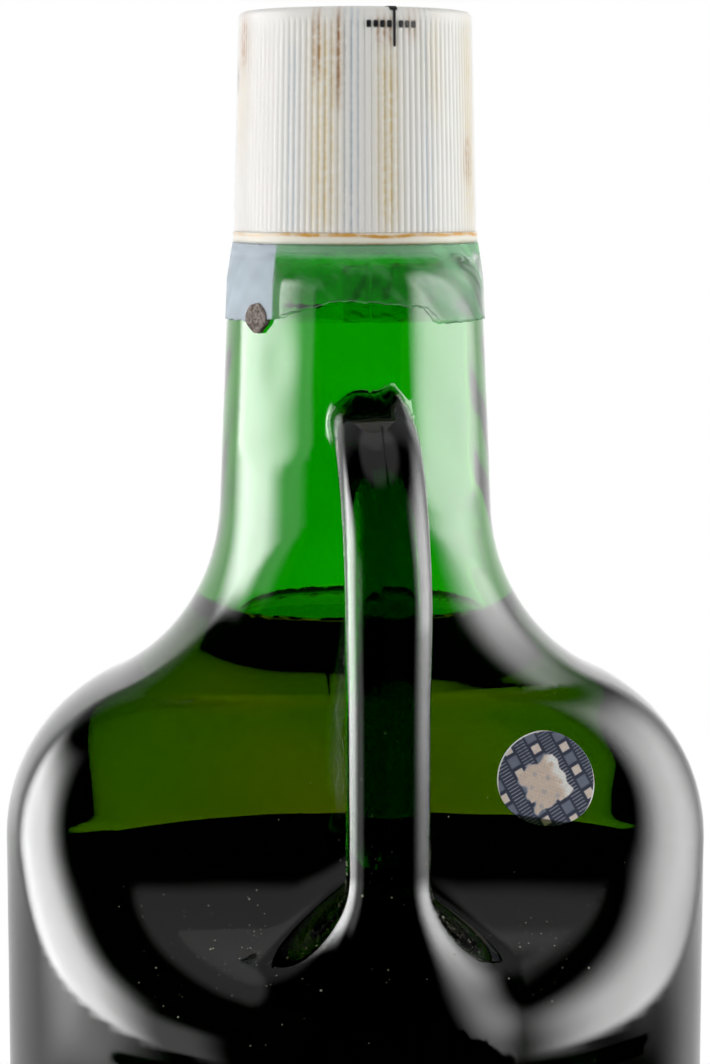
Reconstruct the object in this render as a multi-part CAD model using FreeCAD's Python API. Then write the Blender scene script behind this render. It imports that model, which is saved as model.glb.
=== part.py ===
"""A two-litre whisky bottle in green glass, full, capped and sealed.

The bottle is one solid of glass: a round body, a steep shoulder, a neck that
tapers up to the finish under the cap, and a finger handle that leaves the neck
in an arch and lands on the floor of a scoop cut out of the shoulder.  A ribbed
screw cap and its plain tamper ring close it, a shrink film holds both, a round
seal sticks to the wall of the scoop, a label faces away from the handle, and
the whisky fills the bottle to its shoulder.

Millimetres, +Z up, the origin at the middle of the base.  The handle faces -Y,
and the plane X = 0 is the one where the two halves of the mould met.
"""
import FreeCAD
import Part

import math
import os

from FreeCAD import Vector

# Glass body
BODY_RADIUS = 61.4
BODY_HEIGHT = 182.4
BODY_WALL = 3.4
HEEL_RADIUS = 9.0
INNER_HEEL_RADIUS = 14.0
BASE_THICKNESS = 7.0
PUSH_UP = 5.0
BEARING_WIDTH = 4.0

# Shoulder: a convex arc, then a concave one that runs out on the neck's cone
SHOULDER_CONVEX = 30.6
SHOULDER_CONCAVE = 34.3

# Neck, from the top of the body up to a rounding under the finish
NECK_RADIUS = 22.1
NECK_LENGTH = 95.1
NECK_DRAFT_DEG = 2.47
NECK_WALL = 3.0
NECK_ROUNDING = 7.0
NECK_ROUNDING_DEG = 60.0
NECK_TOP = BODY_HEIGHT + NECK_LENGTH

# Finish, which the cap covers
FINISH_STEP = 4.5
FINISH_WALL = 4.4
FINISH_HEIGHT = 44.8
FINISH_RADIUS = NECK_RADIUS - FINISH_STEP
BOTTLE_HEIGHT = NECK_TOP + FINISH_HEIGHT

# Scoop behind the handle
SCOOP_NECK_STEP = 2.9
SCOOP_PLAN_RADIUS = 320.0
SCOOP_RUN_OUT = 1.6
SCOOP_RIM_DROP = 14.9
SCOOP_EDGE_ROUNDING = 10.0
SCOOP_INNER_ROUNDING = 7.0
SCOOP_WALL = NECK_RADIUS + SCOOP_NECK_STEP
SCOOP_FLOOR_RADIUS = BODY_RADIUS - SCOOP_WALL + SCOOP_RUN_OUT
SCOOP_RIM_HEIGHT = BODY_HEIGHT - SCOOP_RIM_DROP

# Handle
HANDLE_WIDTH = 13.6
HANDLE_DEPTH = 13.0
HANDLE_SETBACK = 7.2
HANDLE_DROP = 16.5
HANDLE_ARCH_HEIGHT = 36.0
HANDLE_FLATNESS = 0.75
HANDLE_ROOT_ROUNDING = 3.0
HANDLE_REACH = BODY_RADIUS - HANDLE_SETBACK
FINGER_GAP = HANDLE_REACH - HANDLE_DEPTH - SCOOP_WALL
HANDLE_FOOT_ROUNDING = min(8.0, 0.5 * FINGER_GAP - 0.1)
HANDLE_TOP = NECK_TOP - HANDLE_DROP
HANDLE_SPRING = HANDLE_TOP - HANDLE_ARCH_HEIGHT

# Recessed label panels, under the scoop and opposite it
PANEL_DEPTH = 0.6
PANEL_CORNER = 4.0
PANEL_LIFT = 15.0
PANEL_BOTTOM = HEEL_RADIUS + PANEL_LIFT
REAR_PANEL_DROP = 12.6
REAR_PANEL_DEG = 90.0
REAR_PANEL_TOP = SCOOP_RIM_HEIGHT - REAR_PANEL_DROP

# Label on the side away from the handle
LABEL_DROP = 15.5
LABEL_DEG = 140.0
LABEL_THICKNESS = 0.2
LABEL_CORNER = 3.0
LABEL_MARGIN = 1.0
LABEL_TOP = BODY_HEIGHT - LABEL_DROP
LABEL_BOTTOM = PANEL_BOTTOM + LABEL_MARGIN

# Whisky, up to a level in the neck's foot
FILL_RISE = 41.1
FILL_HEIGHT = BODY_HEIGHT + FILL_RISE

# Cap and tamper ring
CAP_CLEARANCE = 0.5
CAP_WALL = 2.7
CAP_DRAFT_DEG = 1.5
CAP_ROOF = 2.2
CAP_EDGE = 1.0
RIB_COUNT = 116
RIB_DEPTH = 0.35
RING_HEIGHT = 1.9
RING_PROUD = 0.2
RING_GAP = 1.94
CAP_BORE = FINISH_RADIUS + CAP_CLEARANCE
CAP_RADIUS = CAP_BORE + CAP_WALL
RING_RADIUS = CAP_RADIUS + RING_PROUD
RING_BOTTOM = NECK_TOP + NECK_ROUNDING * math.sin(math.radians(NECK_ROUNDING_DEG)) + RING_GAP
CAP_BOTTOM = RING_BOTTOM + RING_HEIGHT
CAP_TOP = BOTTLE_HEIGHT + CAP_ROOF

# Shrink film, from a fold over the cap's edge down past the neck's rounding
FILM_THICKNESS = 0.15
FILM_OVERLAP = 5.8
FILM_FOLD = 3.0
FILM_LIFT_DEG = 50.0
FILM_BOTTOM = NECK_TOP - FILM_OVERLAP

# Round seal on the wall of the scoop
SEAL_DIAMETER = 17.0
SEAL_THICKNESS = 0.2
SEAL_OFFSET = 29.8
SEAL_RISE = 27.9
SEAL_HEIGHT = SCOOP_RIM_HEIGHT + SEAL_RISE

ORIGIN = Vector(0, 0, 0)
UP = Vector(0, 0, 1)
RIGHT = Vector(1, 0, 0)
FORWARD = Vector(0, -1, 0)


def half(radius, height):
    """A point of a turned profile, which is drawn in the plane Y = 0."""
    return Vector(radius, 0, height)


def side(out, height):
    """A point of the side view: its distance towards the handle and height."""
    return Vector(0, -out, height)


def line(start, end):
    return Part.LineSegment(start, end).toShape()


def arc(centre, radius, start_deg, end_deg):
    """An arc in the plane Y = 0, by its angles from +X towards +Z."""
    def point(degrees):
        angle = math.radians(degrees)
        return centre + half(radius * math.cos(angle), radius * math.sin(angle))
    middle = (start_deg + end_deg) / 2
    return Part.Arc(point(start_deg), point(middle), point(end_deg)).toShape()


def start_of(edge):
    return edge.Vertexes[0].Point


def end_of(edge):
    return edge.Vertexes[-1].Point


def turned(edges):
    """The solid that a closed profile sweeps about the bottle's axis."""
    return Part.Face(Part.Wire(edges)).revolve(ORIGIN, UP, 360)


# ---------------------------------------------------------------- the glass

def neck_radius(height, inset=0.0):
    """Radius of the neck's cone at a height, moved in by a wall."""
    draft = math.radians(NECK_DRAFT_DEG)
    return NECK_RADIUS + (NECK_TOP - height) * math.tan(draft) - inset / math.cos(draft)


def shoulder(inset):
    """The two arcs from the body up to the neck's cone.

    Both keep their centres when a wall moves them in, so that the inside of
    the glass runs parallel to the outside."""
    slope = math.tan(math.radians(NECK_DRAFT_DEG))
    reach = SHOULDER_CONVEX + SHOULDER_CONCAVE
    convex = half(BODY_RADIUS - SHOULDER_CONVEX, BODY_HEIGHT)
    # The concave centre lies on the cone moved out by the arc's radius, as
    # far from the convex centre as the two radii reach together.
    run = neck_radius(0, -SHOULDER_CONCAVE) - convex.x
    a = 1 + slope ** 2
    b = run * slope + convex.z
    c = run ** 2 + convex.z ** 2 - reach ** 2
    height = (b + math.sqrt(b ** 2 - a * c)) / a
    concave = half(neck_radius(height, -SHOULDER_CONCAVE), height)
    bend = math.degrees(math.atan2(concave.z - convex.z, concave.x - convex.x))
    return [
        arc(convex, SHOULDER_CONVEX - inset, 0, bend),
        arc(concave, SHOULDER_CONCAVE + inset, 180 + bend, 180 + NECK_DRAFT_DEG),
    ]


def outside():
    """The bottle filled in: push-up, heel, body, shoulder, neck and finish."""
    foot = BODY_RADIUS - HEEL_RADIUS
    hollow = foot - BEARING_WIDTH
    bowl = (hollow ** 2 + PUSH_UP ** 2) / (2 * PUSH_UP)
    middle = half(hollow / 2, PUSH_UP - bowl + math.sqrt(bowl ** 2 - hollow ** 2 / 4))
    arcs = shoulder(0)
    neck_end = half(neck_radius(NECK_TOP), NECK_TOP)
    rounding = arc(
        neck_end - half(NECK_ROUNDING, 0), NECK_ROUNDING, 0, NECK_ROUNDING_DEG
    )
    ledge = end_of(rounding)
    return turned([
        Part.Arc(half(0, PUSH_UP), middle, half(hollow, 0)).toShape(),
        line(half(hollow, 0), half(foot, 0)),
        arc(half(foot, HEEL_RADIUS), HEEL_RADIUS, -90, 0),
        line(half(BODY_RADIUS, HEEL_RADIUS), start_of(arcs[0])),
        *arcs,
        line(end_of(arcs[-1]), neck_end),
        rounding,
        line(ledge, half(FINISH_RADIUS, ledge.z)),
        line(half(FINISH_RADIUS, ledge.z), half(FINISH_RADIUS, BOTTLE_HEIGHT)),
        line(half(FINISH_RADIUS, BOTTLE_HEIGHT), half(0, BOTTLE_HEIGHT)),
        line(half(0, BOTTLE_HEIGHT), half(0, PUSH_UP)),
    ])


def inside():
    """The room in the glass, open at the mouth, without the scoop's wall."""
    floor = PUSH_UP + BASE_THICKNESS
    radius = BODY_RADIUS - BODY_WALL
    corner = half(radius - INNER_HEEL_RADIUS, floor - PUSH_UP / 2)
    heel = arc(corner + half(0, INNER_HEEL_RADIUS), INNER_HEEL_RADIUS, -90, 0)
    arcs = shoulder(BODY_WALL)
    neck_end = half(neck_radius(NECK_TOP, NECK_WALL), NECK_TOP)
    bore = FINISH_RADIUS - FINISH_WALL
    throat = half(bore, NECK_TOP + neck_end.x - bore)
    mouth = half(bore, BOTTLE_HEIGHT)
    return turned([
        line(half(0, floor), corner),
        heel,
        line(end_of(heel), start_of(arcs[0])),
        *arcs,
        line(end_of(arcs[-1]), neck_end),
        line(neck_end, throat),
        line(throat, mouth),
        line(mouth, half(0, BOTTLE_HEIGHT)),
        line(half(0, BOTTLE_HEIGHT), half(0, floor)),
    ])


def scoop(wall=0.0):
    """What the scoop takes away, grown inwards by a wall's thickness.

    Its side view is a straight wall and a concave floor that runs out level
    at the rim.  Turned about a far axis, the wall is slightly convex."""
    drop = (BODY_RADIUS - SCOOP_WALL) / SCOOP_FLOOR_RADIUS
    floor_top = SCOOP_RIM_HEIGHT + SCOOP_FLOOR_RADIUS * math.sqrt(1 - (1 - drop) ** 2)
    radius = SCOOP_FLOOR_RADIUS + wall
    centre = side(SCOOP_WALL - wall + radius, floor_top)
    middle = centre + side(-radius, -radius) * math.sqrt(0.5)
    bottom = centre + side(0, -radius)
    wall_top = side(SCOOP_WALL - wall, NECK_TOP)
    far_bottom = side(2 * BODY_RADIUS, bottom.z)
    far_top = side(2 * BODY_RADIUS, NECK_TOP)
    face = Part.Face(Part.Wire([
        line(wall_top, centre + side(-radius, 0)),
        Part.Arc(centre + side(-radius, 0), middle, bottom).toShape(),
        line(bottom, far_bottom),
        line(far_bottom, far_top),
        line(far_top, wall_top),
    ]))
    pivot = side(SCOOP_WALL - SCOOP_PLAN_RADIUS, 0)
    spread = math.degrees(2 * math.asin(1.2 * BODY_RADIUS / SCOOP_PLAN_RADIUS))
    face.rotate(pivot, UP, -spread / 2)
    return face.revolve(pivot, UP, spread)


def rounded(solid, radius):
    """A scooped solid with the scoop's edge rounded."""
    edge = []
    for candidate in solid.Edges:
        box = candidate.BoundBox
        flat = box.ZLength < 0.01
        upright = box.XLength < 0.01
        if box.YMax < 0 and not flat and not upright:
            edge.append(candidate)
    return solid.makeFillet(radius, edge)


def grip_section(middle, along):
    """A section of the handle: an oval with flattened faces, across `along`."""
    outward = RIGHT.cross(along)
    points = []
    for degrees in range(0, 360, 15):
        angle = math.radians(degrees)
        cosine, sine = math.cos(angle), math.sin(angle)
        u = math.copysign(abs(cosine) ** HANDLE_FLATNESS, cosine) * HANDLE_WIDTH / 2
        v = math.copysign(abs(sine) ** HANDLE_FLATNESS, sine) * HANDLE_DEPTH / 2
        points.append(middle + RIGHT * u + outward * v)
    curve = Part.BSplineCurve()
    curve.interpolate(points, PeriodicFlag=True)
    return Part.Wire(curve.toShape())


def handle():
    """The handle: an arch off the neck, then a straight grip into the rim."""
    middle = HANDLE_REACH - HANDLE_DEPTH / 2
    root = neck_radius(HANDLE_TOP)
    rise = HANDLE_ARCH_HEIGHT - HANDLE_DEPTH / 2
    run = middle - root
    sections = []
    for degrees in range(108, -1, -18):
        angle = math.radians(degrees)
        centre = side(root + run * math.cos(angle), HANDLE_SPRING + rise * math.sin(angle))
        along = side(run * math.sin(angle), -rise * math.cos(angle)).normalize()
        sections.append(grip_section(centre, along))
    arch = Part.makeLoft(sections, True, False)
    below_rim = SCOOP_RIM_HEIGHT - 1.5 * SCOOP_EDGE_ROUNDING
    grip = Part.Face(sections[-1]).extrude(side(0, below_rim - HANDLE_SPRING))
    return [arch, grip]


def edges_between(solid, low, high):
    """The edges, straight ones apart, that lie between two corners of a box."""
    found = []
    span = FreeCAD.BoundBox(*low, *high)
    for edge in solid.Edges:
        straight = edge.Length < 1.0001 * edge.BoundBox.DiagonalLength
        if span.isInside(edge.BoundBox) and not straight:
            found.append(edge)
    return found


def blended(glass):
    """The glass with the handle's root and foot run out into it."""
    root = edges_between(
        glass,
        (-HANDLE_WIDTH, -SCOOP_WALL, HANDLE_SPRING),
        (HANDLE_WIDTH, 0, NECK_TOP),
    )
    glass = glass.makeFillet(HANDLE_ROOT_ROUNDING, root)
    foot = edges_between(
        glass,
        (-HANDLE_WIDTH, -BODY_RADIUS, SCOOP_RIM_HEIGHT - SCOOP_EDGE_ROUNDING),
        (HANDLE_WIDTH, -SCOOP_WALL, HANDLE_SPRING - HANDLE_DEPTH),
    )
    return glass.makeFillet(HANDLE_FOOT_ROUNDING, foot)


def panel(bottom, top, spread_deg, direction_deg, inner, outer, corner):
    """A curved plate about the bottle's axis, with rounded corners."""
    face = Part.Face(Part.makePolygon([
        half(inner, bottom),
        half(outer, bottom),
        half(outer, top),
        half(inner, top),
        half(inner, bottom),
    ]))
    face.rotate(ORIGIN, UP, direction_deg - spread_deg / 2)
    plate = face.revolve(ORIGIN, UP, spread_deg)
    corners = []
    for edge in plate.Edges:
        box = edge.BoundBox
        if box.ZLength < 1e-6 and abs(edge.Length - (outer - inner)) < 1e-6:
            corners.append(edge)
    return plate.makeFillet(corner, corners)


def bottle():
    glass = outside().cut(scoop())
    glass = rounded(glass, SCOOP_EDGE_ROUNDING)
    glass = blended(glass.fuse(handle()))
    deep = BODY_RADIUS - PANEL_DEPTH
    proud = BODY_RADIUS + PANEL_DEPTH
    glass = glass.cut(panel(
        PANEL_BOTTOM, REAR_PANEL_TOP, REAR_PANEL_DEG, -90, deep, proud, PANEL_CORNER
    ))
    margin_deg = math.degrees(2 * LABEL_MARGIN / BODY_RADIUS)
    glass = glass.cut(panel(
        PANEL_BOTTOM, LABEL_TOP + LABEL_MARGIN, LABEL_DEG + margin_deg,
        90, deep, proud, PANEL_CORNER,
    ))
    return glass.cut(room())


def room():
    """The room in the bottle, with the scoop's wall standing in it."""
    return rounded(inside().cut(scoop(BODY_WALL)), SCOOP_INNER_ROUNDING)


# ------------------------------------------------------------- its contents

def whisky():
    below = Part.makeCylinder(2 * BODY_RADIUS, FILL_HEIGHT)
    return room().common(below)


def label():
    """The label in the front panel, a paper's thickness off the glass."""
    inner = BODY_RADIUS - PANEL_DEPTH
    return panel(
        LABEL_BOTTOM, LABEL_TOP, LABEL_DEG, 90, inner, inner + LABEL_THICKNESS, LABEL_CORNER
    )


def seal():
    """A round sticker, bent to the wall of the scoop."""
    skin = scoop().cut(scoop(-SEAL_THICKNESS))
    centre = side(0, SEAL_HEIGHT) + Vector(SEAL_OFFSET, 0, 0)
    return skin.common(Part.makeCylinder(SEAL_DIAMETER / 2, BODY_RADIUS, centre, FORWARD))


# ------------------------------------------------------------- the closure

def cap_radius(height):
    """Outer radius of the cap's skirt at a height."""
    return CAP_RADIUS - (height - CAP_BOTTOM) * math.tan(math.radians(CAP_DRAFT_DEG))


def cap():
    """A screw cap whose roof seats on the finish, with ribs round its skirt."""
    edge_height = CAP_TOP - CAP_EDGE
    outline = [
        half(CAP_BORE, CAP_BOTTOM),
        half(CAP_RADIUS, CAP_BOTTOM),
        half(cap_radius(edge_height), edge_height),
        half(cap_radius(CAP_TOP) - CAP_EDGE, CAP_TOP),
        half(0, CAP_TOP),
        half(0, BOTTLE_HEIGHT),
        half(CAP_BORE, BOTTLE_HEIGHT),
        half(CAP_BORE, CAP_BOTTOM),
    ]
    shell = turned([line(*ends) for ends in zip(outline, outline[1:])])
    groove_top = CAP_TOP - 2 * CAP_EDGE
    pitch = 2 * math.pi * CAP_RADIUS / RIB_COUNT
    ends = []
    for height in (CAP_BOTTOM, groove_top):
        radius = cap_radius(height)
        ends.append(Part.makePolygon([
            Vector(radius - RIB_DEPTH, 0, height),
            Vector(radius + RIB_DEPTH, pitch / 2, height),
            Vector(radius + RIB_DEPTH, -pitch / 2, height),
            Vector(radius - RIB_DEPTH, 0, height),
        ]))
    groove = Part.makeLoft(ends, True, True)
    grooves = []
    for index in range(RIB_COUNT):
        copy = groove.copy()
        copy.rotate(ORIGIN, UP, 360 * index / RIB_COUNT)
        grooves.append(copy)
    return shell.cut(grooves)


def tamper_ring():
    """The plain ring that hangs under the cap until it is first opened."""
    foot = half(0, RING_BOTTOM)
    ring = Part.makeCylinder(RING_RADIUS, RING_HEIGHT, foot)
    return ring.cut(Part.makeCylinder(CAP_BORE, RING_HEIGHT, foot))


def film_outline(grow):
    """The turned shape that the film wraps, grown by the film's thickness."""
    neck = half(neck_radius(NECK_TOP) + grow, NECK_TOP)
    rounding = arc(neck - half(NECK_ROUNDING, 0), NECK_ROUNDING, 0, FILM_LIFT_DEG)
    lift = end_of(rounding)
    shoulder_height = CAP_TOP - CAP_EDGE
    outline = [
        lift,
        half(lift.x, RING_BOTTOM - grow),
        half(RING_RADIUS + grow, RING_BOTTOM - grow),
        half(RING_RADIUS + grow, CAP_BOTTOM + grow),
        half(cap_radius(CAP_BOTTOM + grow) + grow, CAP_BOTTOM + grow),
        half(cap_radius(shoulder_height) + grow, shoulder_height),
        half(cap_radius(CAP_TOP) - CAP_EDGE, CAP_TOP + grow),
        half(0, CAP_TOP + grow),
        half(0, FILM_BOTTOM),
        half(neck_radius(FILM_BOTTOM) + grow, FILM_BOTTOM),
        neck,
    ]
    return turned([rounding] + [line(*ends) for ends in zip(outline, outline[1:])])


def neck_film():
    """Clear film shrunk over the cap, the ring and the top of the neck."""
    film = film_outline(FILM_THICKNESS).cut(film_outline(0))
    window = Part.makeCylinder(cap_radius(CAP_TOP) - FILM_FOLD, CAP_TOP, half(0, FILM_BOTTOM))
    return film.cut(window)


os.makedirs("parts", exist_ok=True)
NODES = (bottle, whisky, label, seal, cap, tamper_ring, neck_film)
for make in NODES:
    shape = make()
    shape.exportStep(f"parts/{make.__name__}.step")
    print(make.__name__, len(shape.Solids), shape.isValid(), round(shape.Volume / 1000, 2), "ml")
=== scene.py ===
"""The looks of a two-litre whisky bottle: green glass, amber whisky, cap, film, label and seal.

Lengths are millimetres until a piece is made, when they turn to metres.  +Z is up, the
handle faces -Y, and v is the distance from the bottle's axis towards the handle, so v = -y.
"""

import math

import bpy
import numpy as np
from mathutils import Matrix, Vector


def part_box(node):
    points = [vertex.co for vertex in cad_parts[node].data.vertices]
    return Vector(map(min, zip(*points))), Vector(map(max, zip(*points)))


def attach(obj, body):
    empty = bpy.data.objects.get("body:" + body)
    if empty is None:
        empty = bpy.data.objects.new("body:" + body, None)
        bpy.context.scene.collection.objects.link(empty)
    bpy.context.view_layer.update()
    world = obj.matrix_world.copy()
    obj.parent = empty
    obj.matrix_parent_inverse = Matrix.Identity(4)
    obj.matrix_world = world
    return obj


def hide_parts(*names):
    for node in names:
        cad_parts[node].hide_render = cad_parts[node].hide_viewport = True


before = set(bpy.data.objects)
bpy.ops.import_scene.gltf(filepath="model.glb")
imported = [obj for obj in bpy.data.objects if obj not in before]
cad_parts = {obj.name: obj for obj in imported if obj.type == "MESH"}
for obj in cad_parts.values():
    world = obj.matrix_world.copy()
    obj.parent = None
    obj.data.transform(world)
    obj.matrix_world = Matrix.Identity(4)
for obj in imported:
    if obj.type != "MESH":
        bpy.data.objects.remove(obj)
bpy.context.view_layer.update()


# ------------------------------------------------------------------------------- bottle
# One piece of soda-lime container glass, green from chromium, blown in a two-part mould.
# Body, shoulder and neck are turned forms; the scoop and the solid handle are pressed in
# the same mould, so every inner corner is a fillet and a fine seam runs round at x = 0.

MM = 0.001
BODY_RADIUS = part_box("bottle")[1].x / MM
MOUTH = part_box("bottle")[1].z / MM
WALL = 3.4
HEEL = 9.0
INNER_HEEL = 14.0
BASE = 7.0
PUSH_UP = 5.0
BEARING = 4.0
BODY_HEIGHT = 182.4
CONVEX = 30.6
CONCAVE = 34.3
NECK_RADIUS = 22.1
NECK_TOP = MOUTH - 44.8
NECK_WALL = 3.0
NECK_ROUNDING = 7.0
DRAFT = math.radians(2.47)
FINISH_RADIUS = 17.6
BORE = 13.2
THROAT_WALL = 4.5
THROAT_RISE = 12.0
FACET_DEPTH = 0.75
FACET_EDGE = 0.9
LEFT_FACET = math.radians(44)
LEFT_FACET_END = (253, 238)
RIGHT_FACET = math.radians(38)
RIGHT_FACET_END = (246, 230)
FACET_RUN_OUT = 5.0

SCOOP_WALL = NECK_RADIUS + 2.9
SCOOP_FLOOR = BODY_RADIUS - SCOOP_WALL + 1.6
SCOOP_RIM = BODY_HEIGHT - 14.9
SCOOP_PLAN = 320.0
SCOOP_EDGE = 10.0
SCOOP_INNER_EDGE = 7.0
SCOOP_EDGE_AT_NECK = 0.3

HANDLE_WIDTH = 13.6
HANDLE_DEPTH = 13.0
HANDLE_REACH = BODY_RADIUS - 7.2
HANDLE_TOP = NECK_TOP - 16.5
HANDLE_SPRING = HANDLE_TOP - 36.0
HANDLE_FRONT = 4.6
ROOT_FILLET = 0.4
FOOT_FILLET = 12.0
FOOT_TOP = SCOOP_RIM + 18.5
FOOT_SPREAD = 3.2
FOOT_LEAN = 5.0
FOOT_LEAN_RUN = 36.0
FOOT_ENDS = (SCOOP_RIM - 11, SCOOP_RIM - 16)
FOOT_SINK = 14.0

PANEL_DEPTH = 0.6
FRONT_PANEL_DEPTH = 0.12
PANEL_EDGE = 1.6
PANEL_BOTTOM = 24.0
FRONT_PANEL_TOP = SCOOP_RIM - 12.6
FRONT_PANEL_DEG = 90.0
LABEL_DEG = 140.0
LABEL_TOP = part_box("label")[1].z / MM
LABEL_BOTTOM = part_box("label")[0].z / MM

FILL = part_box("whisky")[1].z / MM
SEAM_HEIGHT = 0.12
SEAM_WIDTH = 0.3
INNER_RIPPLE = 0.3
OUTER_RIPPLE = 0.05
NECK_MOTTLE = 0.09


def ramp(value, start, end):
    """A smooth step from 0 at start to 1 at end."""
    t = np.clip((value - start) / (end - start), 0, 1)
    return t * t * (3 - 2 * t)


def neck_radius(z, inset=0.0):
    """The neck's radius: it widens downwards by the mould's draft."""
    return NECK_RADIUS + (NECK_TOP - z) * math.tan(DRAFT) - inset / math.cos(DRAFT)


def shoulder(inset):
    """The shoulder's two arcs: where they meet, where the neck starts, and their centres."""
    slope = math.tan(DRAFT)
    reach = CONVEX + CONCAVE
    low = (BODY_RADIUS - CONVEX, BODY_HEIGHT)
    run = neck_radius(0, -CONCAVE) - low[0]
    half_sum = run * slope + low[1]
    rest = run ** 2 + low[1] ** 2 - reach ** 2
    height = (half_sum + math.sqrt(half_sum ** 2 - (1 + slope ** 2) * rest)) / (1 + slope ** 2)
    high = (neck_radius(height, -CONCAVE), height)
    bend = math.atan2(high[1] - low[1], high[0] - low[0])
    meeting = low[1] + (CONVEX - inset) * math.sin(bend)
    neck_start = high[1] - (CONCAVE + inset) * math.sin(DRAFT)
    return low, high, meeting, neck_start


def turned_radius(z, inset):
    """Radius of the turned form at each height, moved in by the wall's thickness."""
    low, high, meeting, neck_start = shoulder(inset)
    convex = low[0] + np.sqrt(np.maximum((CONVEX - inset) ** 2 - (z - low[1]) ** 2, 0))
    concave = high[0] - np.sqrt(np.maximum((CONCAVE + inset) ** 2 - (z - high[1]) ** 2, 0))
    thinning = np.interp(z, [neck_start, NECK_TOP], [0, WALL - NECK_WALL])
    neck = neck_radius(z, inset - thinning if inset else 0)
    if inset:
        neck = neck - (THROAT_WALL - NECK_WALL) * ramp(z, NECK_TOP - 5, NECK_TOP)
        throat = NECK_RADIUS - THROAT_WALL
        top = throat + (BORE - throat) * ramp(z, NECK_TOP - 1, NECK_TOP + THROAT_RISE)
    else:
        drop = np.minimum(z - NECK_TOP, NECK_ROUNDING * math.sin(math.radians(60)))
        rounding = np.sqrt(np.maximum(NECK_ROUNDING ** 2 - np.maximum(drop, 0) ** 2, 0))
        top = NECK_RADIUS - NECK_ROUNDING + rounding
        top = np.where(z > NECK_TOP + NECK_ROUNDING * math.sin(math.radians(60)), FINISH_RADIUS, top)
    return np.select(
        [z < BODY_HEIGHT, z < meeting, z < neck_start, z < NECK_TOP],
        [np.full_like(z, BODY_RADIUS - inset), convex, concave, neck],
        top,
    )


def turned_table(inset):
    """Heights, radii and the cosine of the slope, closely spaced and slightly smoothed."""
    z = np.arange(-40, MOUTH + 40, 0.2)
    radius = np.convolve(turned_radius(z, inset), np.full(5, 0.2), "same")
    radius[:3], radius[-3:] = radius[3], radius[-4]
    return z, radius, 1 / np.hypot(1, np.gradient(radius, z))


OUTSIDE = turned_table(0.0)
INSIDE = turned_table(WALL)


def round_cut(a, b, radius):
    """The part inside both fields, with a rounded edge."""
    corner = np.hypot(np.maximum(a + radius, 0), np.maximum(b + radius, 0))
    return np.minimum(np.maximum(a, b), -radius) + corner


def round_join(a, b, radius):
    """The part inside either field, with a fillet."""
    return -round_cut(-a, -b, radius)


def ripple(x, v, z, wave):
    """A gentle unevenness between -1 and 1, with bumps of about one wavelength."""
    k = 2 * math.pi / wave
    first = np.sin(k * (0.8 * x + 0.55 * z) + 1.3)
    second = np.sin(k * (0.9 * v - 0.6 * z) + 0.4)
    third = np.sin(k * (0.7 * z + 0.5 * x - 0.45 * v) + 2.1)
    return (first + second + third) / 3


def turned_field(x, v, z, table):
    """Distance to the turned form."""
    r = np.hypot(x, v)
    radius = np.interp(z, table[0], table[1])
    return (r - radius) * np.interp(z, table[0], table[2])


def neck_facets(x, v, z, side, table):
    """Flattens the neck a little to the left and the right of the handle's root.  The flats
    run out above the shoulder and behind the tamper ring."""
    left = v * math.cos(LEFT_FACET) - x * math.sin(LEFT_FACET) - FACET_RUN_OUT * ramp(z, *LEFT_FACET_END)
    right = v * math.cos(RIGHT_FACET) + x * math.sin(RIGHT_FACET) - FACET_RUN_OUT * ramp(z, *RIGHT_FACET_END)
    above = FACET_RUN_OUT * ramp(z, NECK_TOP + 8, NECK_TOP + 12)
    flat = FACET_DEPTH - above - np.interp(z, table[0], table[1])
    mottle = NECK_MOTTLE * ripple(x, v, 0.7 * z, 9) * ramp(z, 232, 244)
    return round_cut(side, np.maximum(left, right) + flat + mottle, FACET_EDGE)


def scoop_edge(z, radius):
    """How round the scoop's edge is at each height: hardly at all against the neck."""
    return SCOOP_EDGE_AT_NECK + radius * ramp(z, 246, 226)


def scoop_field(x, v, z):
    """Distance to the room that the scoop takes: an upright wall above a concave floor."""
    pivot = SCOOP_PLAN - SCOOP_WALL
    out = np.hypot(x, v + pivot) - pivot
    floor_top = SCOOP_RIM + math.sqrt(SCOOP_FLOOR ** 2 - (SCOOP_FLOOR - BODY_RADIUS + SCOOP_WALL) ** 2)
    a = SCOOP_WALL + SCOOP_FLOOR - out
    b = floor_top - z
    corner = np.hypot(np.maximum(a, 0), np.maximum(b, 0))
    return corner + np.minimum(np.maximum(a, b), 0) - SCOOP_FLOOR


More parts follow.
